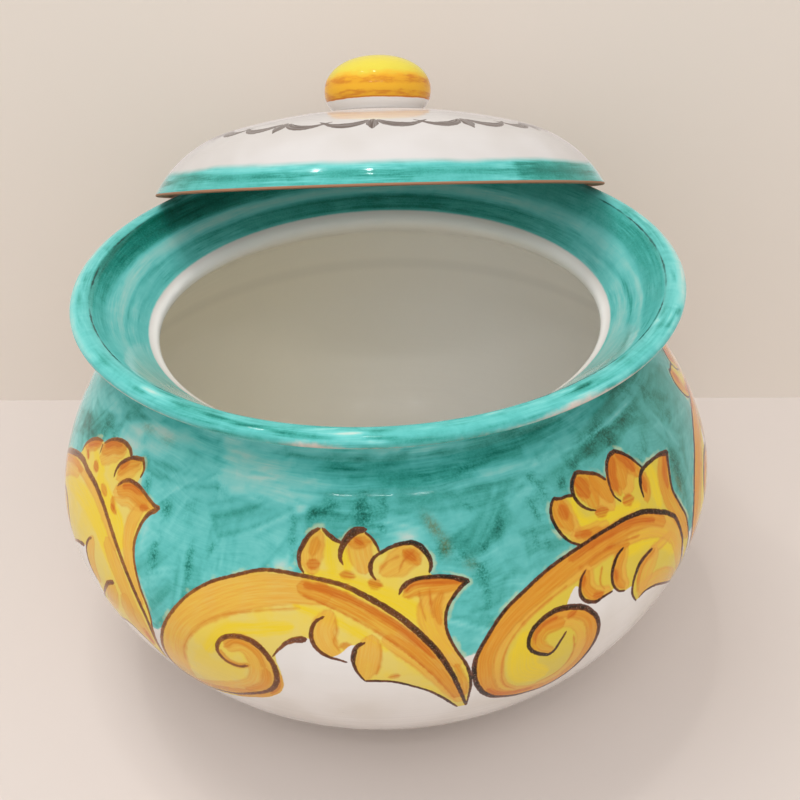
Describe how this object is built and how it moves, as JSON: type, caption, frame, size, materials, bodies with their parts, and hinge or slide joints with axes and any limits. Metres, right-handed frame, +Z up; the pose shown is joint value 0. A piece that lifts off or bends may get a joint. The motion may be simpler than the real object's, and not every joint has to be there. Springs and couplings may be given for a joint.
{
  "type": "biscuit jar",
  "caption": "Round-bellied glazed earthenware jar with a flared collar, a rolled rim and a loose domed lid with a ball knob, painted with scrolling leaves.",
  "frame": {"origin": "centre of the foot ring's standing face, on the pot's axis", "axes": "+Z up along the pot's axis; -Y is the front, away from the parked lid; +X to the right as seen from the front"},
  "size_m": [0.2636, 0.2917, 0.2185],
  "materials": {
    "pot_glaze": "glossy tin glaze, turquoise and white, hand-painted",
    "lid_glaze": "glossy white tin glaze with a painted edge band",
    "knob_glaze": "glossy yellow and orange glaze"
  },
  "bodies": {
    "pot": {"pot": "pot_glaze"},
    "lid": {"lid": "lid_glaze", "knob": "knob_glaze"}
  },
  "joints": [
    {"name": "lid_lift", "type": "slide", "parent": "pot", "child": "lid", "axis": [0, 0, 1], "range_m": [0, 0.12]}
  ]
}
